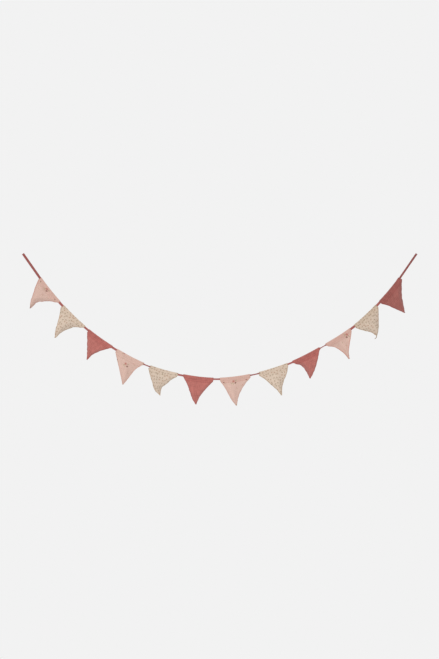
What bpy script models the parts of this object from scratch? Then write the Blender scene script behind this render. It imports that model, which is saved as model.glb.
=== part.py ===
"""Fabric bunting: twelve double gauze flags, each folded over one cotton tape that hangs in a curve.

Run with: blender --background --python part.py
Metres, +Z up. The front faces -Y. The origin is midway between the two points where the tape
is held, at their height, and on the middle of the tape's thickness.
"""
import math
from collections import namedtuple

import bmesh
import bpy
import numpy as np
from mathutils import Vector
from mathutils.geometry import interpolate_bezier

HALF_SPAN = 1.209          # from the middle to each point where the tape is held
TAPE_PAST = 0.006          # the tape runs on past those points
TAPE_WIDTH = 0.015
TAPE_THICK = 0.0012
CLOTH_THICK = 0.0015       # two layers of gauze

# The casing: each flag's top is folded over the tape and stitched down behind.
FOLD_UP = 0.0072           # from the tape's middle up to where the fold starts to turn over
FOLD_RADIUS = 0.00175      # of the cloth's middle, around the tape's upper edge
CASING_DOWN = 0.0085       # from the tape's middle down to where the two layers close
PRESSED_DOWN = 0.0105      # from there down the layers lie pressed together
SEAM_DOWN = 0.0135         # the back layer ends here, and the flag's sides start to slant
CORNER_DOWN = 0.005        # the casing's ends run straight down to here, then draw in or out
PRESSED_DEPTH = 0.00095    # of the cloth's middle, each side of the tape's plane
FOLD_TURNS = (45, 90, 135)

COLUMNS = 10               # across a flag
PANEL_ROWS = 13            # from the seam down to the tip
HOOK_ROWS = 3
TIP_WIDTH = 0.005
BOW_STEPS = 4              # the bows are measured at each quarter of an edge

# The tape leaves the casings flat and is turned about its own middle line between them.
TWIST_CLEAR = 0.002        # kept flat outside each casing
TURN_SHARE = 0.27          # of a gap, in which the tape turns; the same to turn back
FLAG_STEPS = 9             # tape sections behind a flag
GAP_STEPS = 10             # and in each gap
TAIL_STEPS = 6             # and where a tail turns
TAIL_TURN = 0.045          # a tail turns over this length, then stays turned
LEFT_TWIST = 6             # degrees, of the left tail
RIGHT_TWIST = 41           # and of the right
GAP_TWISTS = (10, -31, 34, -66, 47, 56, -65, 54, -74, 14, -10)

# The tape's route, seen from the front: x, z of the first flag's start, of the middle of each
# gap, and of the last flag's end. From the outer two the tails run straight to the fixings.
ROUTE = [
    (-1.106, -0.147),
    (-0.978, -0.306),
    (-0.822, -0.457),
    (-0.650, -0.580),
    (-0.449, -0.684),
    (-0.242, -0.743),
    (-0.017, -0.768),
    (0.214, -0.739),
    (0.434, -0.670),
    (0.635, -0.568),
    (0.818, -0.451),
    (0.977, -0.304),
    (1.107, -0.148),
]

# One row for each flag, left to right. start: along the tape from its left end. tip_x and drop:
# from the middle of the casing across and down to the tip. left_in and right_in: how far the
# sides stand in from the casing's ends at the seam.
Place = namedtuple("Place", "cloth start width tip_x drop left_in right_in")
PLACES = [
    Place("pink", 0.185, 0.190, -0.120, 0.109, 0.000, 0.012),
    Place("sand", 0.407, 0.185, -0.113, 0.128, -0.004, 0.011),
    Place("rose", 0.624, 0.179, -0.083, 0.127, 0.001, 0.010),
    Place("pink", 0.836, 0.187, -0.042, 0.165, -0.001, 0.009),
    Place("sand", 1.067, 0.178, -0.026, 0.150, -0.007, 0.004),
    Place("rose", 1.278, 0.187, -0.015, 0.163, 0.007, 0.001),
    Place("pink", 1.506, 0.187, 0.008, 0.170, 0.001, 0.000),
    Place("sand", 1.750, 0.185, 0.050, 0.160, -0.003, 0.003),
    Place("rose", 1.969, 0.186, 0.024, 0.141, 0.008, 0.011),
    Place("pink", 2.200, 0.179, 0.063, 0.132, 0.006, 0.002),
    Place("sand", 2.411, 0.184, 0.069, 0.121, -0.002, -0.002),
    Place("rose", 2.627, 0.189, 0.092, 0.137, -0.003, -0.004),
]

# How far each side stands out from a straight line, at a quarter, half and three quarters of
# the way from the seam to the tip. Less than nothing is drawn in.
Sides = namedtuple("Sides", "left_high left_mid left_low right_high right_mid right_low")
SIDES = [
    Sides(0.005, 0.006, 0.008, -0.017, -0.025, -0.028),
    Sides(-0.002, 0.000, 0.004, -0.020, -0.023, -0.019),
    Sides(-0.001, -0.001, -0.001, -0.008, -0.013, -0.013),
    Sides(0.000, -0.001, -0.001, -0.010, -0.008, -0.003),
    Sides(0.007, 0.011, 0.016, -0.013, -0.018, -0.024),
    Sides(-0.003, 0.000, 0.004, -0.006, -0.010, -0.010),
    Sides(-0.002, 0.001, 0.004, -0.012, -0.017, -0.014),
    Sides(-0.007, -0.007, -0.007, 0.001, -0.007, -0.008),
    Sides(-0.018, -0.020, -0.012, 0.005, 0.008, 0.007),
    Sides(-0.016, -0.018, -0.013, -0.002, -0.006, -0.008),
    Sides(-0.001, -0.005, -0.009, 0.003, 0.006, 0.008),
    Sides(-0.004, -0.002, 0.000, -0.004, -0.007, -0.004),
]

# How each flag stands out of the tape's plane; more than nothing is to the back. lean: the tip.
# belly: the middle. swing: the right side against the left. left_turn and right_turn: how far
# a side is turned back for each metre that it is drawn in. flute: the height of its waves.
Hang = namedtuple("Hang", "lean belly swing left_turn right_turn flute phase")
HANGS = [
    Hang(0.022, -0.018, 0.004, 0.0, 1.3, 0.003, 0.10),
    Hang(0.012, -0.012, 0.006, 0.0, 1.2, 0.003, 0.60),
    Hang(0.036, -0.022, -0.004, 0.8, 1.1, 0.004, 0.35),
    Hang(-0.010, -0.009, 0.004, 0.8, 1.0, 0.004, 0.80),
    Hang(0.030, -0.014, -0.006, 0.0, 1.2, 0.003, 0.05),
    Hang(0.018, -0.014, 0.003, 0.8, 1.2, 0.004, 0.50),
    Hang(-0.008, -0.008, -0.004, 0.8, 1.3, 0.004, 0.25),
    Hang(0.010, -0.010, 0.005, 1.2, 1.0, 0.003, 0.70),
    Hang(0.038, -0.026, -0.004, 1.2, 0.0, 0.004, 0.15),
    Hang(-0.034, 0.012, 0.006, 1.3, 1.0, 0.003, 0.90),
    Hang(0.026, -0.014, 0.005, 1.2, 0.0, 0.003, 0.40),
    Hang(0.022, -0.010, 0.016, 1.2, 1.2, 0.004, 0.65),
]

# A thread of cloth that hooks on past the tip: the flag's number, then across and down.
Hook = namedtuple("Hook", "across down")
HOOKS = {11: Hook(-0.012, 0.019)}

COLOURS = {
    "pink": ("pink_muslin", (0.665, 0.456, 0.386), 0.92),
    "sand": ("sand_muslin", (0.644, 0.503, 0.392), 0.92),
    "rose": ("rose_muslin", (0.485, 0.174, 0.150), 0.92),
    "tape": ("tape_cotton", (0.381, 0.114, 0.102), 0.88),
}


def clear_scene():
    """Removes every object that the scene starts with."""
    for item in list(bpy.data.objects):
        bpy.data.objects.remove(item, do_unlink=True)


def route_points():
    """The route as close points: smooth through the knots, with straight tails."""
    knots = [Vector((x, z)) for x, z in [(-HALF_SPAN, 0.0)] + ROUTE + [(HALF_SPAN, 0.0)]]
    for end, inner in ((0, 1), (-1, -2)):
        knots[end] += (knots[end] - knots[inner]).normalized() * TAPE_PAST
    steps = [b - a for a, b in zip(knots, knots[1:])]
    ways = [step.normalized() for step in steps]
    turns = [ways[0], ways[0]]
    for i in range(1, len(steps) - 2):
        here, there = steps[i].length, steps[i + 1].length
        turns.append((ways[i] * there + ways[i + 1] * here) / (here + there))
    turns += [ways[-1], ways[-1]]
    points = []
    for i, step in enumerate(steps):
        third = step.length / 3
        handles = knots[i] + turns[i] * third, knots[i + 1] - turns[i + 1] * third
        points += interpolate_bezier(knots[i], *handles, knots[i + 1], 41)[:-1]
    points.append(knots[-1])
    return np.array([tuple(point) for point in points])


POINTS = route_points()
LENGTHS = np.concatenate([[0.0], np.cumsum(np.linalg.norm(np.diff(POINTS, axis=0), axis=1))])
HEADINGS = np.gradient(POINTS, LENGTHS, axis=0)
TAPE_LENGTH = float(LENGTHS[-1])


def on_route(along, up=0.0):
    """x, z at a length along the tape, moved up across it."""
    x, z = (np.interp(along, LENGTHS, POINTS[:, i]) for i in (0, 1))
    across = Vector([np.interp(along, LENGTHS, HEADINGS[:, i]) for i in (0, 1)]).normalized()
    return Vector((x - across.y * up, z + across.x * up))


def smooth(share):
    """Eases from 0 to 1."""
    share = min(max(share, 0.0), 1.0)
    return share * share * (3 - 2 * share)


def bow_at(bows, share):
    """A side's bow at a share of its length: a smooth curve through the three measured bows."""
    values = (0.0,) + tuple(bows) + (0.0,)
    i = min(int(share * BOW_STEPS), BOW_STEPS - 1)
    t = share * BOW_STEPS - i
    before = values[i - 1] if i > 0 else 2 * values[i] - values[i + 1]
    after = values[i + 2] if i + 2 < len(values) else 2 * values[i + 1] - values[i]
    rise, fall = (values[i + 1] - before) / 2, (after - values[i]) / 2
    gap = values[i + 1] - values[i]
    return values[i] + t * (rise + t * (3 * gap - 2 * rise - fall + t * (rise + fall - 2 * gap)))


def casing_section():
    """(up, depth) of the cloth's middle, from the back hem over the tape to the front seam."""
    back = [(-SEAM_DOWN, PRESSED_DEPTH), (-PRESSED_DOWN, PRESSED_DEPTH),
            (-CASING_DOWN, FOLD_RADIUS), (FOLD_UP, FOLD_RADIUS)]
    turn = []
    for degrees in FOLD_TURNS:
        angle = math.radians(degrees)
        turn.append((FOLD_UP + FOLD_RADIUS * math.sin(angle), FOLD_RADIUS * math.cos(angle)))
    front = [(up, -depth) for up, depth in reversed(back)]
    return back + turn + front


CASING = casing_section()


def casing_point(place, row, share):
    """A point of the casing: a section's row, at a share of the flag's width."""
    up, depth = CASING[row]
    drawn = smooth((-up - CORNER_DOWN) / (SEAM_DOWN - CORNER_DOWN))
    left = place.start + place.left_in * drawn
    right = place.start + place.width - place.right_in * drawn
    flat = on_route(left + (right - left) * share, up)
    return Vector((flat.x, depth, flat.y))


def side_point(top, tip, bows, outward, share):
    """x, z on one side of a flag, from the seam to the tip."""
    chord = tip - top
    out = Vector((-chord.y, chord.x)).normalized() * outward
    return top + chord * share + out * bow_at(bows, share)


def hang_depth(sides, hang, share, down):
    """How far the cloth stands out of the tape's plane, to the back."""
    drawn_left = -min(bow_at(sides[:3], down), 0.0)
    drawn_right = -min(bow_at(sides[3:], down), 0.0)
    left, right = max(0.6 - share, 0.0) / 0.6, max(share - 0.4, 0.0) / 0.6
    depth = hang.lean * smooth(down) + hang.belly * math.sin(math.pi * down) * 4 * share * (1 - share)
    depth += hang.swing * (2 * share - 1) * math.sin(math.pi * min(down, 0.5))
    depth += hang.left_turn * drawn_left * left ** 2 + hang.right_turn * drawn_right * right ** 2
    waves = math.sin(2 * math.pi * (1.6 * share + hang.phase))
    return depth + hang.flute * waves * math.sin(math.pi * down) ** 0.8


def panel_point(number, share, down):
    """A point of the flag's hanging part, from the seam (down 0) to the tip (down 1)."""
    place, sides, hang = PLACES[number], SIDES[number], HANGS[number]
    middle = on_route(place.start + place.width / 2)
    tip = middle + Vector((place.tip_x, -place.drop))
    seam = len(CASING) - 1
    ends = [casing_point(place, seam, end) for end in (0, share, 1)]
    left_top, top, right_top = (Vector((end.x, end.z)) for end in ends)
    half = Vector((TIP_WIDTH / 2, 0.0))
    left = side_point(left_top, tip - half, sides[:3], -1, down)
    right = side_point(right_top, tip + half, sides[3:], 1, down)
    flat = left.lerp(right, share) + (top - left_top.lerp(right_top, share)) * (1 - down)
    return Vector((flat.x, hang_depth(sides, hang, share, down) - PRESSED_DEPTH, flat.y))


def hook_point(number, share, row):
    """A point of the hook below the tip."""
    base = panel_point(number, share, 1.0)
    hook = HOOKS[number + 1]
    down = row / HOOK_ROWS
    return base + Vector((hook.across * down ** 2, 0.004 * down ** 2, -hook.down * down))


def add_object(name, cloth, mesh_bm, thickness, collection):
    """Makes an object of a bmesh, gives it its thickness and material."""
    mesh = bpy.data.meshes.new(name)
    mesh_bm.to_mesh(mesh)
    mesh_bm.free()
    item = bpy.data.objects.new(name, mesh)
    collection.objects.link(item)
    solid = item.modifiers.new("thickness", "SOLIDIFY")
    solid.thickness = thickness
    solid.offset = 0.0
    solid.use_even_offset = True
    item.data.materials.append(cloth)
    return item


def shape_grid(columns, rows, point):
    """A grid of cloth, each corner moved to point(column, row)."""
    grid = bmesh.new()
    bmesh.ops.create_grid(grid, x_segments=columns, y_segments=rows, size=0.5)
    for vert in grid.verts:
        column = round((vert.co.x + 0.5) * columns)
        row = round((vert.co.y + 0.5) * rows)
        vert.co = point(column, row)
    return grid


def make_flag(number, cloth, collection):
    """One flag: back hem, fold over the tape, front seam and hanging panel in one cloth."""
    place = PLACES[number]
    seam = len(CASING) - 1
    tip_row = seam + PANEL_ROWS
    rows = tip_row + (HOOK_ROWS if number + 1 in HOOKS else 0)

    def point(column, row):
        share = column / COLUMNS
        if row <= seam:
            return casing_point(place, row, share)
        if row <= tip_row:
            return panel_point(number, share, (row - seam) / PANEL_ROWS)
        return hook_point(number, share, row - tip_row)

    grid = shape_grid(COLUMNS, rows, point)
    return add_object(f"flag_{number + 1:02d}", cloth, grid, CLOTH_THICK, collection)


def tail_stations(casing_end, tape_end, degrees):
    """Sections of a tail from its casing out: it turns, then stays turned up to its end."""
    turn = math.copysign(TAIL_TURN, tape_end - casing_end)
    shares = [step / TAIL_STEPS for step in range(1, TAIL_STEPS + 1)]
    stations = [(casing_end + turn * share, degrees * smooth(share)) for share in shares]
    return stations + [(tape_end, degrees)]


def gap_stations(first, last, degrees):
    """Sections between two casings: the tape turns and turns back."""
    shares = [step / GAP_STEPS for step in range(1, GAP_STEPS)]
    return [(first + (last - first) * share, degrees * smooth(min(share, 1 - share) / TURN_SHARE))
            for share in shares]


def tape_stations():
    """(length along the tape, twist in degrees) of each of the tape's sections."""
    spans = [(place.start - TWIST_CLEAR, place.start + place.width + TWIST_CLEAR) for place in PLACES]
    stations = tail_stations(spans[0][0], 0.0, LEFT_TWIST)[::-1]
    for number, (first, last) in enumerate(spans):
        stations += [(along, 0.0) for along in np.linspace(first, last, FLAG_STEPS + 1)]
        if number < len(GAP_TWISTS):
            stations += gap_stations(last, spans[number + 1][0], GAP_TWISTS[number])
    return stations + tail_stations(spans[-1][1], TAPE_LENGTH, RIGHT_TWIST)


def make_tape(cloth, collection):
    """The tape: one strip from fixing to fixing."""
    stations = tape_stations()

    def point(column, row):
        along, twist = stations[column]
        reach = (row - 0.5) * TAPE_WIDTH
        angle = math.radians(twist)
        flat = on_route(along, reach * math.cos(angle))
        return Vector((flat.x, reach * math.sin(angle), flat.y))

    grid = shape_grid(len(stations) - 1, 1, point)
    return add_object("tape", cloth, grid, TAPE_THICK, collection)


def make_cloth(kind):
    """The material of one cloth."""
    name, colour, roughness = COLOURS[kind]
    material = bpy.data.materials.new(name)
    material.use_nodes = True
    shader = material.node_tree.nodes["Principled BSDF"]
    shader.inputs["Base Color"].default_value = (*colour, 1.0)
    shader.inputs["Roughness"].default_value = roughness
    shader.inputs["Metallic"].default_value = 0.0
    material.diffuse_color = (*colour, 1.0)
    return material


def main():
    clear_scene()
    collection = bpy.data.collections.new("fabric_bunting")
    bpy.context.scene.collection.children.link(collection)
    cloths = {kind: make_cloth(kind) for kind in COLOURS}
    make_tape(cloths["tape"], collection)
    for number, place in enumerate(PLACES):
        make_flag(number, cloths[place.cloth], collection)


main()
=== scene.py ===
"""Fabric bunting: the looks of twelve double gauze flags on one cotton tape.

Metres, +Z up, the front faces -Y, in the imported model's own frame. The origin is midway
between the two points where the tape is held.
"""
import math
from collections import namedtuple

import bmesh
import bpy
import numpy as np
from mathutils import Matrix, Vector, noise
from mathutils.geometry import interpolate_bezier


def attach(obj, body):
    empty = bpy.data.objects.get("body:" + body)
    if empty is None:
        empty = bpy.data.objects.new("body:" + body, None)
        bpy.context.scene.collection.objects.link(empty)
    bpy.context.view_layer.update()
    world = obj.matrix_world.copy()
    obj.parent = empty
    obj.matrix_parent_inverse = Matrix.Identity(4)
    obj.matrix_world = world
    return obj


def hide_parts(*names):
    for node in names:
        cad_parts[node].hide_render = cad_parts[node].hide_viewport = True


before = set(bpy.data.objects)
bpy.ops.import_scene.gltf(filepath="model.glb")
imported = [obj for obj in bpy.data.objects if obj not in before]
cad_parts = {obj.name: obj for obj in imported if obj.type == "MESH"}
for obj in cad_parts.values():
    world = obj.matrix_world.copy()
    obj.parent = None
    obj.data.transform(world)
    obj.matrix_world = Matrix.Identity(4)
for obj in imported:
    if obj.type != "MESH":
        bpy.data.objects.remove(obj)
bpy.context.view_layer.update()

MM = 0.001

# The tape, and the casing that each flag makes round it. Depths are of the printed face.
HALF_SPAN = 1.209          # from the middle to each point where the tape is held
TAPE_PAST = 0.006          # the tape runs on past those points
TAPE_WIDTH = 0.015
TAPE_THICK = 1.1 * MM
FOLD_UP = 6.6 * MM         # from the tape's middle up to where the fold starts to turn over
FOLD_OUT = 2.5 * MM        # the printed face stands this far from the tape's plane,
PRESSED_OUT = 1.7 * MM     # and this far where the two layers are pressed together
CASING_DOWN = 8.5 * MM     # from the tape's middle down to where the two layers close
PRESSED_DOWN = 10.5 * MM   # from there down the layers lie pressed together
SEAM_DOWN = 13.5 * MM      # from there the flag's sides slant
FLAP_DOWN = 27.0 * MM      # the back layer ends here, just below the stitches that hold it
FLAP_ROWS = 9              # between SEAM_DOWN and FLAP_DOWN
CORNER_DOWN = 5.0 * MM     # the casing's ends run straight down to here, then draw in or out
# The rows of each face of the casing, up from the tape's middle.
CASING_UPS = np.array([-13.5, -12.4, -11.4, -10.5, -9.5, -8.5, -6.0, -3.0, 0.0, 3.0, 5.2, 6.6]) * MM
FOLD_ROWS = 8              # over the tape's upper edge

# The hanging part of a flag, from the seam down to the tip.
PANEL_ROWS = 92
INNER_COLUMNS = 70         # between the two hems
HEM_COLUMNS = np.array([0.0, 0.5, 1.6, 3.4, 4.9, 5.7, 6.5, 7.3]) * MM  # in from a flag's side
HEM_WIDTH = 6.5 * MM
HEM_EASE = 0.8 * MM        # a hem ends over this width
STITCH_COLUMN = 4          # of the columns above
STITCH_IN = HEM_COLUMNS[STITCH_COLUMN]
HEM_SHARE = 0.42           # near the tip each hem takes at most this share of the width
TIP_WIDTH = 0.005
HOOK_ROWS = 12

FIELD_THICK = 1.2 * MM     # two layers of gauze
PRESSED_THICK = 1.4 * MM   # each half of the casing, pressed
HEM_THICK = 2.4 * MM       # a hem has three turns of cloth
HEM_STARTS = 6 * MM        # below the back layer a hem thickens over this length
TIP_LAYERED = 17 * MM      # where a flag is this narrow its two hems start to lie on each other
TIP_EASE = 5 * MM          # and this much narrower they lie on each other all over

# The tape turns about its own middle line: first in a casing's mouth, which turns with it, then
# on in the gap.
MOUTH_TURN = 44            # degrees, at most
MOUTH_LONG = 0.024         # from a casing's end in to where the tape lies flat
MOUTH_CALM = 0.0165        # below the tape the cloth of the mouth is calm again
TURN_SHARE = 0.27          # of a gap, in which the tape turns on; the same to turn back
FLAG_STEPS = 44            # tape sections behind a flag
GAP_STEPS = 30             # and in a gap or a tail
TAPE_ROWS = 8              # across the tape
SELVEDGE_ROUND = 0.25 * MM
TWISTS = (6, 10, -31, 34, -62, 45, 52, -61, 50, -69, 14, -10, 41)  # left tail, gaps, right tail

# The tape's route, seen from the front: x, z of the first flag's start, of the middle of each
# gap, and of the last flag's end. From the outer two the tails run straight to the tape's ends.
ROUTE = [
    (-1.106, -0.147),
    (-0.978, -0.306),
    (-0.822, -0.457),
    (-0.650, -0.580),
    (-0.449, -0.684),
    (-0.242, -0.743),
    (-0.017, -0.768),
    (0.214, -0.739),
    (0.434, -0.670),
    (0.635, -0.568),
    (0.818, -0.451),
    (0.977, -0.304),
    (1.107, -0.148),
]
ROUTE_STEPS = 40           # on each stretch between two of these, and on each tail

# One row for each flag, left to right. start: along the tape from its left end. tip_x and drop:
# from the middle of the casing across and down to the tip. left_in and right_in: how far the
# sides stand in from the casing's ends at the seam.
Place = namedtuple("Place", "cloth start width tip_x drop left_in right_in")
PLACES = [
    Place("pink", 0.185, 0.190, -0.120, 0.109, 0.000, 0.012),
    Place("sand", 0.407, 0.185, -0.113, 0.128, -0.004, 0.011),
    Place("rose", 0.624, 0.179, -0.083, 0.127, 0.001, 0.010),
    Place("pink", 0.836, 0.187, -0.042, 0.165, -0.001, 0.009),
    Place("sand", 1.067, 0.178, -0.026, 0.150, -0.007, 0.004),
    Place("rose", 1.278, 0.187, -0.015, 0.163, 0.007, 0.001),
    Place("pink", 1.506, 0.187, 0.008, 0.170, 0.001, 0.000),
    Place("sand", 1.750, 0.185, 0.050, 0.160, -0.003, 0.003),
    Place("rose", 1.969, 0.186, 0.024, 0.141, 0.008, 0.011),
    Place("pink", 2.200, 0.179, 0.063, 0.132, 0.006, 0.002),
    Place("sand", 2.411, 0.184, 0.069, 0.121, -0.002, -0.002),
    Place("rose", 2.627, 0.189, 0.092, 0.137, -0.003, -0.004),
]

# How far each side stands out from a straight line, at a quarter, half and three quarters of
# the way from the seam to the tip. Less than nothing is drawn in.
Sides = namedtuple("Sides", "left_high left_mid left_low right_high right_mid right_low")
SIDES = [
    Sides(0.005, 0.006, 0.008, -0.017, -0.025, -0.028),
    Sides(-0.002, 0.000, 0.004, -0.020, -0.023, -0.019),
    Sides(-0.001, -0.001, -0.001, -0.008, -0.013, -0.013),
    Sides(0.000, -0.001, -0.001, -0.010, -0.008, -0.003),
    Sides(0.007, 0.011, 0.016, -0.013, -0.018, -0.024),
    Sides(-0.003, 0.000, 0.004, -0.006, -0.010, -0.010),
    Sides(-0.002, 0.001, 0.004, -0.012, -0.017, -0.014),
    Sides(-0.007, -0.007, -0.007, 0.001, -0.007, -0.008),
    Sides(-0.018, -0.020, -0.012, 0.005, 0.008, 0.007),
    Sides(-0.016, -0.018, -0.013, -0.002, -0.006, -0.008),
    Sides(-0.001, -0.005, -0.009, 0.003, 0.006, 0.008),
    Sides(-0.004, -0.002, 0.000, -0.004, -0.007, -0.004),
]

# How each flag stands out of the tape's plane; more than nothing is to the back. lean: the tip.
# belly: the middle. swing: the right side against the left. left_turn and right_turn: how far
# a side is turned back for each metre that it is drawn in. flute: the height of its waves.
Hang = namedtuple("Hang", "lean belly swing left_turn right_turn flute phase")
HANGS = [
    Hang(0.022, -0.018, 0.004, 0.0, 1.3, 0.003, 0.10),
    Hang(0.012, -0.012, 0.006, 0.0, 1.2, 0.003, 0.60),
    Hang(0.036, -0.022, -0.004, 0.8, 1.1, 0.004, 0.35),
    Hang(-0.010, -0.009, 0.004, 0.8, 1.0, 0.004, 0.80),
    Hang(0.030, -0.014, -0.006, 0.0, 1.2, 0.003, 0.05),
    Hang(0.018, -0.014, 0.003, 0.8, 1.2, 0.004, 0.50),
    Hang(-0.008, -0.008, -0.004, 0.8, 1.3, 0.004, 0.25),
    Hang(0.010, -0.010, 0.005, 1.2, 1.0, 0.003, 0.70),
    Hang(0.038, -0.026, -0.004, 1.2, 0.0, 0.004, 0.15),
    Hang(-0.034, 0.012, 0.006, 1.3, 1.0, 0.003, 0.90),
    Hang(0.026, -0.014, 0.005, 1.2, 0.0, 0.003, 0.40),
    Hang(0.022, -0.010, 0.016, 1.2, 1.2, 0.004, 0.65),
]
TURNED_SHARE = 0.6         # of the width, over which a drawn-in side is turned back
FLUTES = 1.6               # waves across a flag

# A thread of cloth that hooks on past the tip: the flag's number, then across and down.
Hook = namedtuple("Hook", "across down")
HOOKS = {11: Hook(-0.012, 0.019)}
HOOK_BACK = 0.004          # its end stands this far to the back
HOOK_NARROWED = 0.45       # and is this share narrower than the tip
# and its colour is darkened to this share
HOOK_DARKENED = 0.8

# Soft folds, in a flag's own flat sizes: along and up from the middle of its casing. A ridge
# is more than nothing high, a trough less.
Crease = namedtuple("Crease", "flag from_along from_up to_along to_up height width")
CREASES = [
    Crease(1, -0.040, -0.020, -0.020, -0.100, 0.0008, 0.010),
    Crease(1, 0.046, -0.030, -0.004, -0.090, 0.0027, 0.011),
    Crease(2, -0.040, -0.020, -0.010, -0.130, 0.0016, 0.011),
    Crease(2, 0.050, -0.018, 0.010, -0.090, -0.0016, 0.010),
    Crease(3, -0.060, -0.022, -0.010, -0.104, 0.0022, 0.007),
    Crease(3, -0.038, -0.020, -0.008, -0.070, -0.0012, 0.009),
    Crease(3, 0.040, -0.020, 0.010, -0.100, 0.0014, 0.010),
    Crease(4, -0.060, -0.018, -0.008, -0.130, 0.0016, 0.011),
    Crease(4, 0.030, -0.018, 0.008, -0.120, -0.0015, 0.010),
    Crease(5, -0.030, -0.018, 0.000, -0.120, -0.0016, 0.011),
    Crease(5, 0.050, -0.020, 0.012, -0.110, 0.0018, 0.010),
    Crease(6, -0.045, -0.018, -0.010, -0.130, 0.0015, 0.010),
    Crease(6, 0.055, -0.018, 0.010, -0.110, 0.0016, 0.011),
    Crease(7, -0.050, -0.018, -0.005, -0.130, 0.0016, 0.010),
    Crease(7, 0.020, -0.018, 0.010, -0.140, -0.0014, 0.012),
    Crease(8, -0.055, -0.018, 0.000, -0.120, 0.0016, 0.010),
    Crease(8, 0.035, -0.018, 0.008, -0.140, -0.0015, 0.011),
    Crease(9, -0.040, -0.020, -0.008, -0.110, 0.0016, 0.010),
    Crease(9, 0.050, -0.018, 0.008, -0.120, 0.0016, 0.011),
    Crease(10, -0.050, -0.020, 0.000, -0.100, -0.0016, 0.011),
    Crease(10, 0.060, -0.020, 0.010, -0.130, 0.0018, 0.010),
    Crease(11, -0.030, -0.018, 0.005, -0.110, 0.0014, 0.010),
    Crease(11, 0.055, -0.018, 0.020, -0.120, -0.0015, 0.011),
    Crease(12, -0.015, -0.012, -0.030, -0.072, 0.0034, 0.005),
    Crease(12, -0.032, -0.016, -0.046, -0.062, -0.0016, 0.009),
    Crease(12, 0.002, -0.030, 0.026, -0.056, 0.0012, 0.012),
    Crease(12, 0.060, -0.030, 0.020, -0.120, -0.0016, 0.011),
]
FOLD_CUT = 0.15            # of a half wave, left off at each end of a fold's height
FOLD_PAINTED_LIGHT = 30                # for each metre of a fold's height: painted light makes its ridge paler, painted shade its trough deeper

# Each flag's own cut from the cloth. The first column: how light its colour is made, a little for each flag;
# the twelfth flag's is much darker, a painted shade, as though that flag were turned away from the key
# light.
# casing, flap and hem: how much of the doubled cloth's deeper colour it has round the tape, where the back
# layer lies behind, and along its sides. turn, along and up: how the cut was turned in degrees, and where
# the middle of its casing lies in the print.
Cut = namedtuple("Cut", "dye casing flap hem turn along up")
CUTS = [
    Cut(0.99, 0.35, 0.20, 1.00, 0, 0.016, 0.009),
    Cut(1.02, 0.20, 0.10, 0.85, 0, 0.031, 0.012),
    Cut(0.99, 0.45, 0.45, 0.85, 0, 0.000, 0.000),
    Cut(1.03, 0.10, 0.05, 0.45, 0, 0.005, 0.050),
    Cut(1.01, 0.10, 0.15, 0.85, 0, 0.083, -0.041),
    Cut(0.99, 0.40, 0.35, 0.85, 0, 0.004, 0.003),
    Cut(1.03, 0.40, 0.40, 0.40, 0, 0.012, 0.022),
    Cut(1.03, 0.20, 0.10, 0.85, 0, -0.052, 0.077),
    Cut(0.96, 0.50, 0.65, 0.85, 0, 0.002, 0.007),
    Cut(1.02, 0.55, 0.30, 0.90, 90, -0.014, -0.048),
    Cut(0.97, 0.45, 0.15, 0.85, 0, 0.140, 0.055),
    Cut(0.72, 0.45, 0.60, 0.85, 0, 0.006, 0.001),
]

# Muslin: two layers of gauze tied together at every TIE_PITCH, which puff up between the ties.
TIE_PITCH = 11 * MM
PUFF = 0.7 * MM
PUFF_PRESSED = 0.8         # doubled cloth puffs up less by this share
PUFF_SIZE = 17 * MM        # over which the puffs grow and shrink
TIE_WANDER = 3.0 * MM      # the rows of ties aren't straight
TIE_WANDER_SIZE = 26 * MM
BROAD = 0.9 * MM           # unevenness of the hanging cloth
BROAD_SIZE = 32 * MM
HANG_EASE = 12 * MM        # it, the folds and the edges' waves come in over this, below the seam
FINE = 0.35 * MM
FINE_SIZE = 8 * MM
FINE_PRESSED = 0.6         # doubled cloth is less uneven by this share
HEM_RAISE = 0.25 * MM
SEWN_LAYERED = 0.9         # how much of the deeper colour the casing's row of stitches has
SEWN_DIP = 0.4 * MM
STITCH_DIP = 0.35 * MM     # the groove of a hem's stitches
STITCH_DIP_REACH = 0.6 * MM
STITCH_DIP_WIDTH = 16 * MM  # it ends where a flag is this narrow
SIDE_SLANT = 1.1           # a side is about this much longer than it is high
RIPPLE = 0.9 * MM          # slow waves of a hemmed edge, dying away inwards
RIPPLE_PITCH = 34 * MM
RIPPLE_REACH = 16 * MM
RIPPLE_DRIFT_SIZE = 60 * MM
RIPPLE_HEIGHT_SIZE = 45 * MM
PUCKER = 0.14 * MM         # short waves that the stitches pull up
PUCKER_PITCH = 7.3 * MM
PUCKER_REACH = 2.2 * MM
GATHER = 0.4 * MM          # of the casing round the tape
GATHER_PITCH = 9 * MM
GATHER_SIZE = 30 * MM      # over which the gathers drift
GATHER_DOWN = 15 * MM      # they die out here, below the tape's middle
GATHER_EASE = 6 * MM
CASING_SUNK = -0.1 * MM    # the casing's face sinks no lower than this, so it clears the tape

# Sewing thread.
STITCH_PITCH = 3.0 * MM
STITCH_LONG = 2.2 * MM
STITCH_WIDE = 0.55 * MM
STITCH_HIGH = 0.4 * MM
STITCHED_SHARE = 0.86      # of the way down to the tip, where the two hems meet

# Camera and stage.
CAMERA_PLACE = (-0.0018, -10.0, -0.462)
CAMERA_LENS = 88.7
SURROUND_LIGHT = 0.888     # linear
FLOOR_SCALE = (1.6, 1.2, 1.0)
FLOOR_MIDDLE = (0.0, -0.75, -2.62)
KEY_PLACE = (-3.0, -9.5, 3.2)
KEY_AIM = (0, 0, -0.4)
KEY_SIZE = 4.5
KEY_POWER = 230            # watts


def smooth(share):
    """Eases from 0 to 1."""
    share = np.clip(share, 0.0, 1.0)
    return share * share * (3 - 2 * share)


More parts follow.
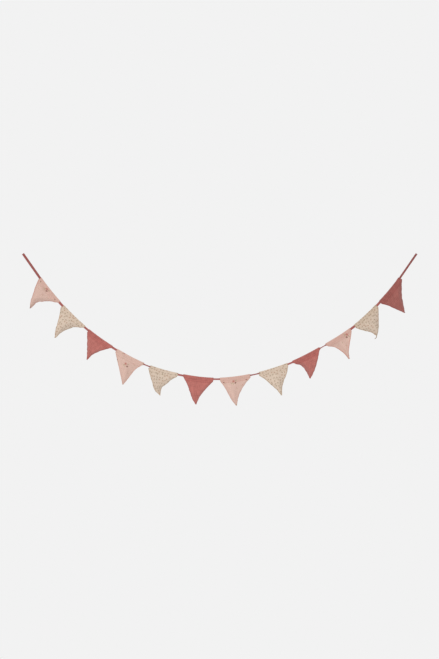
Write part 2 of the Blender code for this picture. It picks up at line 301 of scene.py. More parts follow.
def route_points():
    """The route as close points: smooth through the knots, with straight tails."""
    knots = [Vector((x, z)) for x, z in [(-HALF_SPAN, 0.0)] + ROUTE + [(HALF_SPAN, 0.0)]]
    for end, inner in ((0, 1), (-1, -2)):
        knots[end] += (knots[end] - knots[inner]).normalized() * TAPE_PAST
    steps = [b - a for a, b in zip(knots, knots[1:])]
    ways = [step.normalized() for step in steps]
    turns = [ways[0], ways[0]]
    for i in range(1, len(steps) - 2):
        here, there = steps[i].length, steps[i + 1].length
        turns.append((ways[i] * there + ways[i + 1] * here) / (here + there))
    turns += [ways[-1], ways[-1]]
    points = []
    for i, step in enumerate(steps):
        third = step.length / 3
        handles = knots[i] + turns[i] * third, knots[i + 1] - turns[i + 1] * third
        points += interpolate_bezier(knots[i], *handles, knots[i + 1], ROUTE_STEPS + 1)[:-1]
    points.append(knots[-1])
    return np.array([tuple(point) for point in points])


POINTS = route_points()
LENGTHS = np.concatenate([[0.0], np.cumsum(np.linalg.norm(np.diff(POINTS, axis=0), axis=1))])
HEADINGS = np.gradient(POINTS, LENGTHS, axis=0)
TAPE_LENGTH = float(LENGTHS[-1])


def on_route(along, up):
    """x and z at lengths along the tape, moved up across it, as one array with x, z last."""
    x, z, head_x, head_z = (np.interp(along, LENGTHS, line) for line in (*POINTS.T, *HEADINGS.T))
    size = np.hypot(head_x, head_z)
    return np.stack([x - head_z / size * up, z + head_x / size * up], axis=-1)


def bow_at(bows, share):
    """A side's bow at shares of its length: a smooth curve through the three measured bows."""
    values = np.array([-bows[0], 0.0, *bows, 0.0, -bows[-1]])
    i = np.clip((share * 4).astype(int), 0, 3)
    t = share * 4 - i
    before, here, there, after = (values[i + step] for step in range(4))
    rise, fall, gap = (there - before) / 2, (after - here) / 2, there - here
    return here + t * (rise + t * (3 * gap - 2 * rise - fall + t * (rise + fall - 2 * gap)))


def casing_section():
    """Up and depth of the printed face, from the back hem over the tape to the front seam."""
    open_share = smooth((CASING_UPS + PRESSED_DOWN) / (PRESSED_DOWN - CASING_DOWN))
    depths = PRESSED_OUT + (FOLD_OUT - PRESSED_OUT) * open_share
    turns = np.radians(np.linspace(0, 180, FOLD_ROWS + 1)[1:-1])
    up = np.concatenate([CASING_UPS, FOLD_UP + FOLD_OUT * np.sin(turns), CASING_UPS[::-1]])
    depth = np.concatenate([depths, FOLD_OUT * np.cos(turns), -depths[::-1]])
    return up, depth


SECTION_UP, SECTION_DEPTH = casing_section()
SEAM_ROW = len(SECTION_UP) - 1
FLAP_OVER = slice(SEAM_ROW + FLAP_ROWS, SEAM_ROW, -1)  # the front rows that the back layer lies behind


def casing_ends(place):
    """Lengths along the tape of both ends of each casing row."""
    drawn = smooth((-SECTION_UP - CORNER_DOWN) / (SEAM_DOWN - CORNER_DOWN))
    return place.start + place.left_in * drawn, place.start + place.width - place.right_in * drawn


def side_line(top, tip, bows, outward, down):
    """x and z down one side of a flag, from the seam to the tip."""
    chord = tip - top
    out = np.array([-chord[1], chord[0]]) / np.hypot(*chord) * outward
    return top + chord * down[:, None] + out * bow_at(bows, down)[:, None]


def spread_columns(widths):
    """Each row's columns as shares of its width: close ones in both hems, even ones between."""
    reach = np.minimum(1.0, HEM_SHARE * widths / HEM_COLUMNS[-1])
    hem = HEM_COLUMNS[None, :] * (reach / widths)[:, None]
    inner = np.linspace(0, 1, INNER_COLUMNS + 2)[None, 1:-1]
    inner = hem[:, -1:] + (1 - 2 * hem[:, -1:]) * inner
    return np.hstack([hem, inner, 1 - hem[:, ::-1]])


def hang_depth(sides, hang, share, down):
    """How far the cloth stands out of the tape's plane, to the back."""
    drawn_left = -np.minimum(bow_at(sides[:3], down), 0.0)
    drawn_right = -np.minimum(bow_at(sides[3:], down), 0.0)
    left = np.maximum(TURNED_SHARE - share, 0) / TURNED_SHARE
    right = np.maximum(share - (1 - TURNED_SHARE), 0) / TURNED_SHARE
    depth = hang.lean * smooth(down) + hang.belly * np.sin(math.pi * down) * 4 * share * (1 - share)
    depth = depth + hang.swing * (2 * share - 1) * np.sin(math.pi * np.minimum(down, 0.5))
    depth = depth + hang.left_turn * drawn_left * left ** 2
    depth = depth + hang.right_turn * drawn_right * right ** 2
    waves = np.sin(math.tau * (FLUTES * share + hang.phase))
    return depth + hang.flute * waves * np.maximum(np.sin(math.pi * down), 0) ** 0.8


def turned(number, along):
    """How far the tape has turned in a casing, in degrees: it starts to turn in the mouths."""
    place = PLACES[number]
    left, right = np.clip(TWISTS[number:number + 2], -MOUTH_TURN, MOUTH_TURN)
    inside_left = np.clip((along - place.start) / MOUTH_LONG, 0, 1)
    inside_right = np.clip((place.start + place.width - along) / MOUTH_LONG, 0, 1)
    return left * (1 - inside_left) ** 2 + right * (1 - inside_right) ** 2


def mouth_calm(below_tape):
    """1 beside the tape, easing to 0 below it."""
    return 1 - smooth(below_tape / MOUTH_CALM)


def casing_rows(number):
    """The printed face round the tape, as rows of x, y, z, and each row's shares."""
    left, right = casing_ends(PLACES[number])
    shares = spread_columns(right - left)
    along = left[:, None] + (right - left)[:, None] * shares
    up = SECTION_UP[:, None]
    flat = on_route(along, up)
    angle = np.radians(turned(number, along))
    reach = TAPE_WIDTH / 2 * np.cos(angle)
    beside = np.clip(up, -reach, reach) * np.tan(angle)
    depth = SECTION_DEPTH[:, None] + beside * mouth_calm(-reach - up)
    return np.stack([flat[..., 0], depth, flat[..., 1]], axis=-1), shares


def panel_rows(number, seam, seam_shares):
    """The printed face of the hanging part, as rows of x, y, z, and each row's shares."""
    place, sides, hang = PLACES[number], SIDES[number], HANGS[number]
    tip = on_route(place.start + place.width / 2, 0.0) + (place.tip_x, -place.drop)
    half = np.array([TIP_WIDTH / 2, 0.0])
    left_top, right_top = seam[0, ::2], seam[-1, ::2]
    seam_way = (right_top - left_top) / np.linalg.norm(right_top - left_top)
    to_tip = tip - left_top
    height = abs(seam_way[0] * to_tip[1] - seam_way[1] * to_tip[0])
    flap = (FLAP_DOWN - SEAM_DOWN) / height
    before_flap = np.linspace(0, flap, FLAP_ROWS + 1)[1:]
    below_flap = np.linspace(flap, 1, PANEL_ROWS - FLAP_ROWS + 1)[1:]
    down = np.concatenate([before_flap, below_flap])
    left = side_line(left_top, tip - half, sides[:3], -1, down)
    right = side_line(right_top, tip + half, sides[3:], 1, down)
    shares = spread_columns(np.linalg.norm(right - left, axis=1))
    bend = seam[:, ::2] - left_top - (right_top - left_top) * seam_shares[:, None]
    flat = left[:, None] + (right - left)[:, None] * shares[..., None]
    for axis in (0, 1):
        flat[..., axis] += np.interp(shares, seam_shares, bend[:, axis]) * (1 - down)[:, None]
    depth = hang_depth(sides, hang, shares, down[:, None]) - PRESSED_OUT
    below_tape = SEAM_DOWN - TAPE_WIDTH / 2
    calm = mouth_calm(below_tape + down * height) / mouth_calm(below_tape)
    depth = depth + np.interp(shares, seam_shares, seam[:, 1] + PRESSED_OUT) * calm[:, None]
    return np.stack([flat[..., 0], depth, flat[..., 1]], axis=-1), shares


def hook_rows(hook, tip):
    """Rows of x, y, z below the tip, where a thread of cloth hooks on."""
    down = (np.arange(1, HOOK_ROWS + 1) / HOOK_ROWS)[:, None, None]
    middle = tip.mean(axis=0)
    narrowing = middle + (tip - middle) * (1 - HOOK_NARROWED * down)
    curve = [hook.across * down ** 2, HOOK_BACK * down ** 2, -hook.down * down]
    return narrowing + np.concatenate(curve, axis=-1)


def flat_places(rows):
    """Where each point lies in the flat cloth: along and up from the middle of the casing's front."""
    middle = rows[:, rows.shape[1] // 2]
    steps = np.linalg.norm(np.diff(middle, axis=0), axis=1)
    below = np.concatenate([[0.0], np.cumsum(steps)])
    front = slice(SEAM_ROW, SEAM_ROW - len(CASING_UPS), -1)
    level = np.interp(0.0, SECTION_UP[front], below[front])
    across = np.cumsum(np.linalg.norm(np.diff(rows, axis=1, prepend=rows[:, :1]), axis=2), axis=1)
    along = across - across[:, rows.shape[1] // 2][:, None]
    return np.stack([along, np.broadcast_to((level - below)[:, None], along.shape)], axis=-1)


def wander(places, size, seed):
    """Smooth seeded unevenness from -1 to 1 over the flat cloth."""
    rows, columns = places.shape[:2]
    values = [noise.noise((along / size, up / size, seed)) for along, up in places.reshape(-1, 2)]
    return np.array(values).reshape(rows, columns)


def puffs(places, seed):
    """How far the gauze puffs up between its ties, from 0 on a tie line to 1."""
    along = places[..., 0] + TIE_WANDER * wander(places, TIE_WANDER_SIZE, seed)
    up = places[..., 1] + TIE_WANDER * wander(places, TIE_WANDER_SIZE, seed + 5)
    cells = np.abs(np.sin(math.pi * along / TIE_PITCH) * np.sin(math.pi * up / TIE_PITCH))
    depth = np.clip(0.65 + 0.7 * wander(places, PUFF_SIZE, seed + 9), 0.15, 1.0)
    return 1 - (1 - np.sqrt(cells)) * depth


def creases(number, places):
    """The height of a flag's soft folds."""
    height = np.zeros(places.shape[:2])
    for crease in CREASES:
        if crease.flag != number + 1:
            continue
        start = np.array([crease.from_along, crease.from_up])
        way = np.array([crease.to_along, crease.to_up]) - start
        share = np.clip((places - start) @ way / (way @ way), 0, 1)
        away = np.linalg.norm(places - start - way * share[..., None], axis=-1)
        fading = np.sin(math.pi * (FOLD_CUT + (1 - 2 * FOLD_CUT) * share))
        height += crease.height * np.exp(-(away / crease.width) ** 2) * fading
    return height


def surface_normals(rows):
    """Unit normals of the printed face, outwards."""
    down = np.gradient(rows, axis=0)
    across = np.gradient(rows, axis=1)
    normals = np.cross(down, across)
    return normals / np.maximum(np.linalg.norm(normals, axis=2, keepdims=True), 1e-12)


def add_flap(rows, places):
    """Puts the back layer before the casing: it lies on the back of the hanging part."""
    flap = rows[FLAP_OVER] + (0, 2 * PRESSED_OUT, 0)
    flat = places[FLAP_OVER].copy()
    flat[..., 1] = places[0, :, 1] + (places[SEAM_ROW, :, 1] - flat[..., 1])
    return np.vstack([flap, rows]), np.vstack([flat, places])


# Where each point of a flag's face lies, and how far, from 0 to 1, it is hem, casing, in front of
# the back layer and on the casing's row of stitches.
Lie = namedtuple("Lie", "places shares widths from_edge below_seam hem casing flap sewn")


def lie_of_cloth(rows, shares):
    """Where each point of the printed face lies in its flag."""
    places = flat_places(rows)
    widths = np.linalg.norm(rows[:, -1] - rows[:, 0], axis=1)[:, None]
    from_edge = np.minimum(shares, 1 - shares) * widths
    hem_wide = np.minimum(HEM_WIDTH, HEM_SHARE * widths)
    hem = smooth((hem_wide + HEM_EASE / 2 - from_edge) / HEM_EASE)
    hem = np.maximum(hem, smooth((TIP_LAYERED - widths) / TIP_EASE))
    below_seam = np.maximum(places[SEAM_ROW, 0, 1] - places[..., 1], 0.0)
    row = np.arange(len(rows))[:, None] + np.zeros_like(hem)
    casing = np.where(row <= SEAM_ROW, 1.0, 0.0)
    flap = np.where((row > SEAM_ROW) & (row <= SEAM_ROW + FLAP_ROWS), 1.0, 0.0)
    sewn = np.where(row == SEAM_ROW + FLAP_ROWS - 1, 1.0, 0.0)
    return Lie(places, shares, widths, from_edge, below_seam, hem, casing, flap, sewn)


def edge_waves(number, lie):
    """The slow waves of a flag's sides, and the short ones that their stitches pull up."""
    edge_along = lie.places[..., 1] * SIDE_SLANT
    phase = np.where(lie.shares < 0.5, number, 2.1 * number + 1)
    phase = phase + 2.2 * wander(lie.places, RIPPLE_DRIFT_SIZE, number + 0.3)
    height = 0.7 + 0.9 * wander(lie.places, RIPPLE_HEIGHT_SIZE, number + 0.6)
    ripple = RIPPLE * height * np.sin(math.tau * edge_along / RIPPLE_PITCH + phase)
    near_stitch = np.exp(-((lie.from_edge - STITCH_IN) / PUCKER_REACH) ** 2)
    pucker = PUCKER * near_stitch * np.sin(math.tau * edge_along / PUCKER_PITCH)
    return ripple * np.exp(-lie.from_edge / RIPPLE_REACH) + pucker


def gathers(number, lie):
    """How far the casing is gathered up round the tape."""
    drift = 2 * wander(lie.places, GATHER_SIZE, number)
    gather = 0.5 + 0.5 * np.sin(math.tau * lie.places[..., 0] / GATHER_PITCH + drift)
    return GATHER * gather * lie.casing * smooth((lie.places[..., 1] + GATHER_DOWN) / GATHER_EASE)


def relief(number, lie, layered, puff):
    """How far the printed face stands out from the flag's plain shape."""
    broad = BROAD * wander(lie.places, BROAD_SIZE, number * 3.1)
    hanging = broad + edge_waves(number, lie) + creases(number, lie.places)
    raised = PUFF * puff * (1 - PUFF_PRESSED * layered)
    raised += smooth(lie.below_seam / HANG_EASE) * hanging
    raised += FINE * wander(lie.places, FINE_SIZE, number * 2.3) * (1 - FINE_PRESSED * layered)
    raised += HEM_RAISE * lie.hem * (1 - lie.casing) - SEWN_DIP * lie.sewn
    groove = np.exp(-((lie.from_edge - STITCH_IN) / STITCH_DIP_REACH) ** 2)
    raised -= STITCH_DIP * groove * (lie.widths > STITCH_DIP_WIDTH)
    raised += gathers(number, lie)
    return np.where(lie.casing > 0.5, np.maximum(raised, CASING_SUNK), raised)


def thickness(lie):
    """The cloth's thickness: two layers, more in a hem, and pressed where the casing closes."""
    below_flap = lie.below_seam - (FLAP_DOWN - SEAM_DOWN)
    thick = FIELD_THICK + (HEM_THICK - FIELD_THICK) * lie.hem * smooth(below_flap / HEM_STARTS)
    pressed = (lie.casing + lie.flap > 0.5) & (np.abs(lie.places[..., 1]) > PRESSED_DOWN)
    return np.where(pressed, PRESSED_THICK, thick)


# A flag's printed face: rows of x, y, z from the back layer's hem over the tape to the tip, their
# normals and places in the flat cloth, how much of the deeper colour of doubled cloth each point
# has, its puffs and its thickness.
Surface = namedtuple("Surface", "rows normals places layered puff thick")


def make_surface(number):
    """A flag's printed face, with its back layer."""
    casing, casing_shares = casing_rows(number)
    panel, panel_shares = panel_rows(number, casing[-1], casing_shares[-1])
    rows, shares = np.vstack([casing, panel]), np.vstack([casing_shares, panel_shares])
    if number + 1 in HOOKS:
        rows = np.vstack([rows, hook_rows(HOOKS[number + 1], rows[-1])])
        shares = np.vstack([shares, np.repeat(shares[-1:], HOOK_ROWS, axis=0)])
    lie, cut = lie_of_cloth(rows, shares), CUTS[number]
    deeper = [cut.hem * lie.hem, cut.casing * lie.casing, cut.flap * lie.flap, SEWN_LAYERED * lie.sewn]
    layered = np.max(deeper, axis=0)
    puff = puffs(lie.places, number * 1.7)
    thick = thickness(lie)
    rows = rows + surface_normals(rows) * relief(number, lie, layered, puff)[..., None]
    rows, places = add_flap(rows, lie.places)
    layered, puff, thick = (np.vstack([values[FLAP_OVER], values]) for values in (layered, puff, thick))
    return Surface(rows, surface_normals(rows), places, layered, puff, thick)


def shape_grid(points):
    """A bmesh grid with each corner moved to its place, and the corners by row and column."""
    rows, columns = points.shape[0] - 1, points.shape[1] - 1
    grid = bmesh.new()
    bmesh.ops.create_grid(grid, x_segments=columns, y_segments=rows, size=0.5)
    found = [(round((vert.co.y + 0.5) * rows), round((vert.co.x + 0.5) * columns)) for vert in grid.verts]
    for vert, at in zip(grid.verts, found):
        vert.co = points[at]
    grid.verts.index_update()
    return grid, found


def lay_flat(grid, found, places):
    """Writes each corner's place in the flat cloth to the UV map."""
    flat = grid.loops.layers.uv.new("flat")
    for face in grid.faces:
        face.smooth = True
        for loop in face.loops:
            loop[flat].uv = places[found[loop.vert.index]]


def mesh_of(name, shape):
    """A finished bmesh as a mesh."""
    mesh = bpy.data.meshes.new(name)
    shape.to_mesh(mesh)
    shape.free()
    return mesh


def add_object(name, data):
    """A new object in the scene."""
    item = bpy.data.objects.new(name, data)
    bpy.context.scene.collection.objects.link(item)
    return item


def add_piece(name, grid, materials):
    """Makes a piece of a bmesh; it rides on the one body."""
    piece = add_object(name, mesh_of(name, grid))
    for material in materials:
        piece.data.materials.append(material)
    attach(piece, "root")
    return piece


def make_cloth(number, surface, materials):
    """One flag's cloth: the printed face, given its thickness to the inside."""
    cut = CUTS[number]
    grid, found = shape_grid(surface.rows)
    turn = math.radians(cut.turn)
    turned_cloth = np.array([[math.cos(turn), math.sin(turn)], [-math.sin(turn), math.cos(turn)]])
    lay_flat(grid, found, surface.places @ turned_cloth + (cut.along, cut.up))
    layers = grid.verts.layers.float.new("layers")
    puffed = grid.verts.layers.float.new("puffed")
    dye = grid.verts.layers.float.new("dye")
    weights = grid.verts.layers.deform.verify()
    # Each point's tone: the flag's own, with painted light on the ridges of its folds and painted shade in
    # their troughs.
    tone_with_painted_light = cut.dye * (1 + FOLD_PAINTED_LIGHT * creases(number, surface.places))
    if number + 1 in HOOKS:
        tone_with_painted_light[-HOOK_ROWS:] *= HOOK_DARKENED
    for vert, at in zip(grid.verts, found):
        vert[layers] = surface.layered[at]
        vert[puffed] = surface.puff[at]
        vert[dye] = tone_with_painted_light[at]
        vert[weights][0] = surface.thick[at] / HEM_THICK
    bmesh.ops.reverse_faces(grid, faces=grid.faces)
    piece = add_piece(f"flag_{number + 1:02d}_cloth", grid, materials)
    piece.vertex_groups.new(name="thickness")
    solid = piece.modifiers.new("layers_of_gauze", "SOLIDIFY")
    solid.thickness = HEM_THICK
    solid.offset = -1
    solid.vertex_group = "thickness"
    solid.material_offset = 1
    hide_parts(f"flag_{number + 1:02d}")
    return piece


def stitch_line(points, normals):
    """Places of stitches along a line of points: each one's middle, way and outward direction."""
    along = np.concatenate([[0.0], np.cumsum(np.linalg.norm(np.diff(points, axis=0), axis=1))])
    stitches = []
    for start in np.arange(STITCH_PITCH, along[-1] - STITCH_PITCH, STITCH_PITCH):
        here, there = (Vector([np.interp(start + step, along, points[:, i]) for i in range(3)])
                       for step in (-0.4 * STITCH_LONG, 0.4 * STITCH_LONG))
        out = Vector([np.interp(start, along, normals[:, i]) for i in range(3)]).normalized()
        stitches.append(((here + there) / 2, (there - here).normalized(), out))
    return stitches


def one_stitch():
    """A stitch at the origin: it runs along X, and Z is outwards."""
    stitch = bmesh.new()
    bmesh.ops.create_uvsphere(stitch, u_segments=6, v_segments=4, radius=0.5)
    bmesh.ops.scale(stitch, vec=(STITCH_LONG, STITCH_WIDE, STITCH_HIGH), verts=stitch.verts)
    for face in stitch.faces:
        face.smooth = True
    return mesh_of("one_stitch", stitch)


def make_stitches(number, surface, thread, stitch):
    """One flag's rows of stitches: along both hems and the casing, on the front and the back."""
    rows, normals = surface.rows, surface.normals
    seam = FLAP_ROWS + SEAM_ROW
    last = seam + int(PANEL_ROWS * STITCHED_SHARE)
    bare = slice(seam + FLAP_ROWS + 1, last)
    inside = slice(STITCH_COLUMN, -STITCH_COLUMN)
    inner_face = rows - normals * surface.thick[..., None]
    lines = [(rows[row, inside], normals[row, inside]) for row in (1, seam + FLAP_ROWS - 1)]
    for column in (STITCH_COLUMN, rows.shape[1] - 1 - STITCH_COLUMN):
        lines.append((rows[:last, column], normals[:last, column]))
        lines.append((inner_face[bare, column], -normals[bare, column]))
    sewing = bmesh.new()
    for points, outs in lines:
        for middle, way, out in stitch_line(points, outs):
            side = out.cross(way).normalized()
            turn = Matrix((way, side, way.cross(side))).transposed().to_4x4()
            place = Matrix.Translation(middle) @ turn
            stitch.transform(place)
            sewing.from_mesh(stitch)
            stitch.transform(place.inverted())
    return add_piece(f"flag_{number + 1:02d}_stitches", sewing, [thread])


def tape_stations():
    """Length along the tape and twist in degrees of each of the tape's sections."""
    ends = [0.0]
    for place in PLACES:
        ends += [place.start, place.start + place.width]
    ends.append(TAPE_LENGTH)
    shares = np.linspace(0, 1, GAP_STEPS + 1)
    sections = []
    for number, twist in enumerate(TWISTS):
        first, last = ends[2 * number:2 * number + 2]
        from_left = shares if number > 0 else 1
        from_right = 1 - shares if number < len(PLACES) else 1
        from_casing = np.minimum(from_left, from_right)
        mouth = np.clip(twist, -MOUTH_TURN, MOUTH_TURN)
        on = np.sin(math.pi / 2 * np.minimum(from_casing / TURN_SHARE, 1))
        sections.append(np.stack([first + (last - first) * shares, mouth + (twist - mouth) * on]))
        if number < len(PLACES):
            along = np.linspace(*ends[2 * number + 1:2 * number + 3], FLAG_STEPS + 1)[1:-1]
            sections.append(np.stack([along, turned(number, along)]))
    return np.hstack(sections)


# Painted shade along the tape, as shares of its colour: its tails are darker, the right one most, and
# between the flags it is lighter.
TAPE_PAINTED_SHADE_ALONG = (0.0, 0.19, 0.30, 2.70, 2.81, 3.0)
TAPE_PAINTED_SHADE = (0.92, 0.92, 1.14, 1.14, 0.82, 0.76)


def make_tape(material):
    """The tape: one strip from end to end, through all the casings."""
    along, twist = tape_stations()[:, None, :]
    reach = (np.linspace(-0.5, 0.5, TAPE_ROWS + 1) * TAPE_WIDTH)[:, None]
    angle = np.radians(twist)
    flat = on_route(along, reach * np.cos(angle))
    depth = reach * np.sin(angle)
    rows = np.stack([flat[..., 0], depth, flat[..., 1]], axis=-1)
    grid, found = shape_grid(rows)
    lay_flat(grid, found, np.stack(np.broadcast_arrays(along, reach), axis=-1))
    dye = grid.verts.layers.float.new("dye")
    # Painted shade along the tape: darker tails, lighter between the flags
    painted_shade_along = np.interp(along[0], TAPE_PAINTED_SHADE_ALONG, TAPE_PAINTED_SHADE)
    for vert, at in zip(grid.verts, found):
        vert[dye] = painted_shade_along[at[1]]
    piece = add_piece("cotton_tape", grid, [material])
    solid = piece.modifiers.new("weave_thickness", "SOLIDIFY")
    solid.thickness = TAPE_THICK
    solid.offset = 0
    bevel = piece.modifiers.new("selvedges", "BEVEL")
    bevel.width = SELVEDGE_ROUND
    bevel.segments = 2
    bevel.limit_method = "ANGLE"
    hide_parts("tape")
    return piece


def linear(code):
    """An sRGB hex colour as linear red, green, blue and alpha."""
    parts = [int(code[i:i + 2], 16) / 255 for i in (0, 2, 4)]
    return (*[part / 12.92 if part <= 0.04045 else ((part + 0.055) / 1.055) ** 2.4 for part in parts], 1.0)


def add(tree, kind, inputs=None, **settings):
    """Adds one node with its settings. An input is a plain value or another node's output."""
    node = tree.nodes.new("ShaderNode" + kind)
    for name, value in settings.items():
        setattr(node, name, value)
    for name, value in (inputs or {}).items():
        if isinstance(value, bpy.types.NodeSocket):
            tree.links.new(value, node.inputs[name])
        else:
            node.inputs[name].default_value = value
    return node


def start_material(name, finish):
    """A new material, its node tree and its shader, with the finish set on the shader's sockets."""
    material = bpy.data.materials.new(name)
    material.use_nodes = True
    shader = material.node_tree.nodes["Principled BSDF"]
    for socket, value in finish.items():
        shader.inputs[socket].default_value = value
    return material, material.node_tree, shader


# Where a Mix node keeps its colour sockets.
MIX_SHARE, MIX_UNDER, MIX_OVER, MIX_RESULT = 0, 6, 7, 2

MILLIMETRES = (1000, 1000, 1000)  # brings places in metres to millimetres

# The inks of the two prints, and how a mark is drawn: along and up in millimetres from the
# repeat's or the sprig's middle, its size, its turn in degrees and its number of petals. A
# sprig's marks have no ink of their own, because each sprig takes one by chance.
INKS = {
    "bloom": "B97F77",
    "deep": "A4645F",
    "plum": "74463F",
    "leaf": "A39674",
    "faint": "C59C90",
    "ochre": "BD9265",
    "taupe": "86694F",
    "olive": "7C7253",
    "brown": "96684A",
}
Mark = namedtuple("Mark", "along up long wide turn petals ink", defaults=[None])
POSIES = [
    Mark(-10, -9, 15, 5.0, 38, 0, "leaf"),
    Mark(-1, -13, 14, 4.2, 100, 0, "leaf"),
    Mark(14, 6, 15, 4.8, 22, 0, "leaf"),
    Mark(-1, 2, 20, 18, 10, 5, "bloom"),
    Mark(-1, 2, 11, 10, 46, 5, "deep"),
    Mark(-1, 2, 4.6, 4.4, 0, 0, "ochre"),
    Mark(12, -9, 12.5, 10, 40, 0, "plum"),
    Mark(15, -12.5, 7, 3.0, -45, 0, "leaf"),
    Mark(-61, 0, 10, 8.5, 20, 5, "plum"),
    Mark(-53, -7, 9, 3.4, -50, 0, "leaf"),
    Mark(47, 24, 11, 10, 0, 5, "faint"),
    Mark(55, 17, 9, 3.2, -40, 0, "leaf"),
    Mark(-39, 58, 14, 13, 30, 5, "bloom"),
    Mark(-39, 58, 7, 6.4, 60, 5, "deep"),
    Mark(-31, 50, 8, 6.5, 30, 0, "faint"),
    Mark(-47, 51, 10, 3.6, 45, 0, "leaf"),
    Mark(21, -42, 9, 8.5, 15, 5, "faint"),
    Mark(27, -48, 8, 3.0, -45, 0, "leaf"),
    Mark(-24, -37, 7, 6, 0, 0, "faint"),
    Mark(-28, 25, 8, 3.0, 60, 0, "leaf"),
    Mark(18, 46, 7.5, 7, 0, 0, "faint"),
    Mark(58, -30, 8, 7, 0, 5, "bloom"),
    Mark(51, -35, 8, 3.0, 35, 0, "leaf"),
    Mark(-58, -50, 8, 7.5, 0, 5, "faint"),
]
POSY_REPEAT = (140, 150)
SPRIG = [
    Mark(0, -1.2, 10.5, 1.5, 88, 0),
    Mark(2.3, -2.0, 5.4, 2.5, 40, 0),
    Mark(-2.4, -0.2, 5.4, 2.5, 140, 0),
    Mark(0.2, 4.2, 5.8, 5.4, 0, 5),
]
SPRIG_PITCH = 18.5
SPRIG_SCATTER = 0.6
BROWN_ABOVE = 0.62         # of the chance from 0 to 1
PETAL_DEPTH = 0.42         # of a flower's radius, in to between its petals
INK_OUTSIDE = 1.12         # of a mark's radius: the ink fades out here
INK_INSIDE = 0.84          # and is full from here in


def mark_mask(tree, cloth, mark):
    """1 inside a printed mark and 0 outside it, with the soft edge of ink on gauze."""
    settings = {
        "Vector": cloth,
        "Location": (mark.along, mark.up, 0),
        "Rotation": (0, 0, math.radians(mark.turn)),
        "Scale": (mark.long / 2, mark.wide / 2, 1),
    }
    placed = add(tree, "Mapping", settings, vector_type="TEXTURE").outputs[0]
    away = add(tree, "VectorMath", {0: placed}, operation="LENGTH").outputs["Value"]
    if mark.petals:
        parts = add(tree, "SeparateXYZ", {0: placed})
        sides = {0: parts.outputs["Y"], 1: parts.outputs["X"]}
        angle = add(tree, "Math", sides, operation="ARCTAN2").outputs[0]
        turns = add(tree, "Math", {0: angle, 1: mark.petals / 2}, operation="MULTIPLY").outputs[0]
        wave = add(tree, "Math", {0: turns}, operation="COSINE").outputs[0]
        round_petals = add(tree, "Math", {0: wave}, operation="ABSOLUTE").outputs[0]
        petal = {0: round_petals, 1: PETAL_DEPTH, 2: 1 - PETAL_DEPTH}
        lobes = add(tree, "Math", petal, operation="MULTIPLY_ADD").outputs[0]
        away = add(tree, "Math", {0: away, 1: lobes}, operation="DIVIDE").outputs[0]
    edge = {"Value": away, "From Min": INK_OUTSIDE, "From Max": INK_INSIDE}
    return add(tree, "MapRange", edge).outputs[0]


def print_posies(tree, cloth, ground, strength):
    """Sparse small posies and buds on a wide repeat."""
    wide, high = POSY_REPEAT
    settings = {0: cloth, 1: (wide / 2, high / 2, 1), 2: (-wide / 2, -high / 2, -1)}
    repeat = add(tree, "VectorMath", settings, operation="WRAP").outputs[0]
    for mark in POSIES:
        mask = add(tree, "MapRange", {"Value": mark_mask(tree, repeat, mark), "To Max": strength})
        layers = {MIX_SHARE: mask.outputs[0], MIX_UNDER: ground, MIX_OVER: linear(INKS[mark.ink])}
        ground = add(tree, "Mix", layers, data_type="RGBA").outputs[MIX_RESULT]
    return ground


def print_sprigs(tree, cloth, ground, strength):
    """Small sprigs scattered close together, each turned its own way."""
    settings = {"Vector": cloth, "Scale": 1 / SPRIG_PITCH, "Randomness": SPRIG_SCATTER}
    cells = add(tree, "TexVoronoi", settings, voronoi_dimensions="2D")
    local = {0: cloth, 1: cells.outputs["Position"]}
    local = add(tree, "VectorMath", local, operation="SUBTRACT").outputs[0]
    chance = add(tree, "SeparateColor", {0: cells.outputs["Color"]})
    angle = add(tree, "MapRange", {"Value": chance.outputs[0], "To Max": math.tau}).outputs[0]
    spin = {"Vector": local, "Angle": angle}
    spun = add(tree, "VectorRotate", spin, rotation_type="Z_AXIS").outputs[0]
    inks = {MIX_SHARE: chance.outputs[1], MIX_UNDER: linear(INKS["taupe"]), MIX_OVER: linear(INKS["olive"])}
    ink = add(tree, "Mix", inks, data_type="RGBA").outputs[MIX_RESULT]
    brown = add(tree, "Math", {0: chance.outputs[2], 1: BROWN_ABOVE}, operation="GREATER_THAN").outputs[0]
    inks = {MIX_SHARE: brown, MIX_UNDER: ink, MIX_OVER: linear(INKS["brown"])}
    ink = add(tree, "Mix", inks, data_type="RGBA").outputs[MIX_RESULT]
    for mark in SPRIG:
        mask = add(tree, "MapRange", {"Value": mark_mask(tree, spun, mark), "To Max": strength})
        layers = {MIX_SHARE: mask.outputs[0], MIX_UNDER: ground, MIX_OVER: ink}
        ground = add(tree, "Mix", layers, data_type="RGBA").outputs[MIX_RESULT]
    return ground


def no_print(tree, cloth, ground, strength):
    """Plain dyed cloth."""
    return ground


# Each muslin: the colour of one double layer, of the same doubled again in a hem or a casing,
# and of its wrong side, with its print, and how much its tone changes at random and how deep its
# painted shade is along the tie lines between its puffs.
Muslin = namedtuple("Muslin", "ground doubled wrong_side draw strength crinkle")
MUSLINS = {
    "pink": Muslin("CFAFA2", "C4978A", "D2B6AA", print_posies, 0.85, 0.08),
    "sand": Muslin("CFBCAA", "C0A992", "D1C1B1", print_sprigs, 0.68, 0.08),
    "rose": Muslin("B36C64", "A75C56", "B57670", no_print, 0.0, 0.26),
}
THREAD_PITCH = 0.9         # mm; real gauze has two threads in each, which is too fine to show
THREAD_SHADE = 0.16
SLUB_SCALE = 0.6           # for each mm, so a thread is thick and thin every 1.7 mm or so
MOTTLE_SCALE = 0.045       # for each mm, so the dye is uneven over 22 mm or so
SHOWS_THROUGH = 0.35       # of the print's strength on the wrong side
PUFFS_PAINTED_LIGHTER = 0.45          # of the painted tie shade's depth, as painted light on the puffs
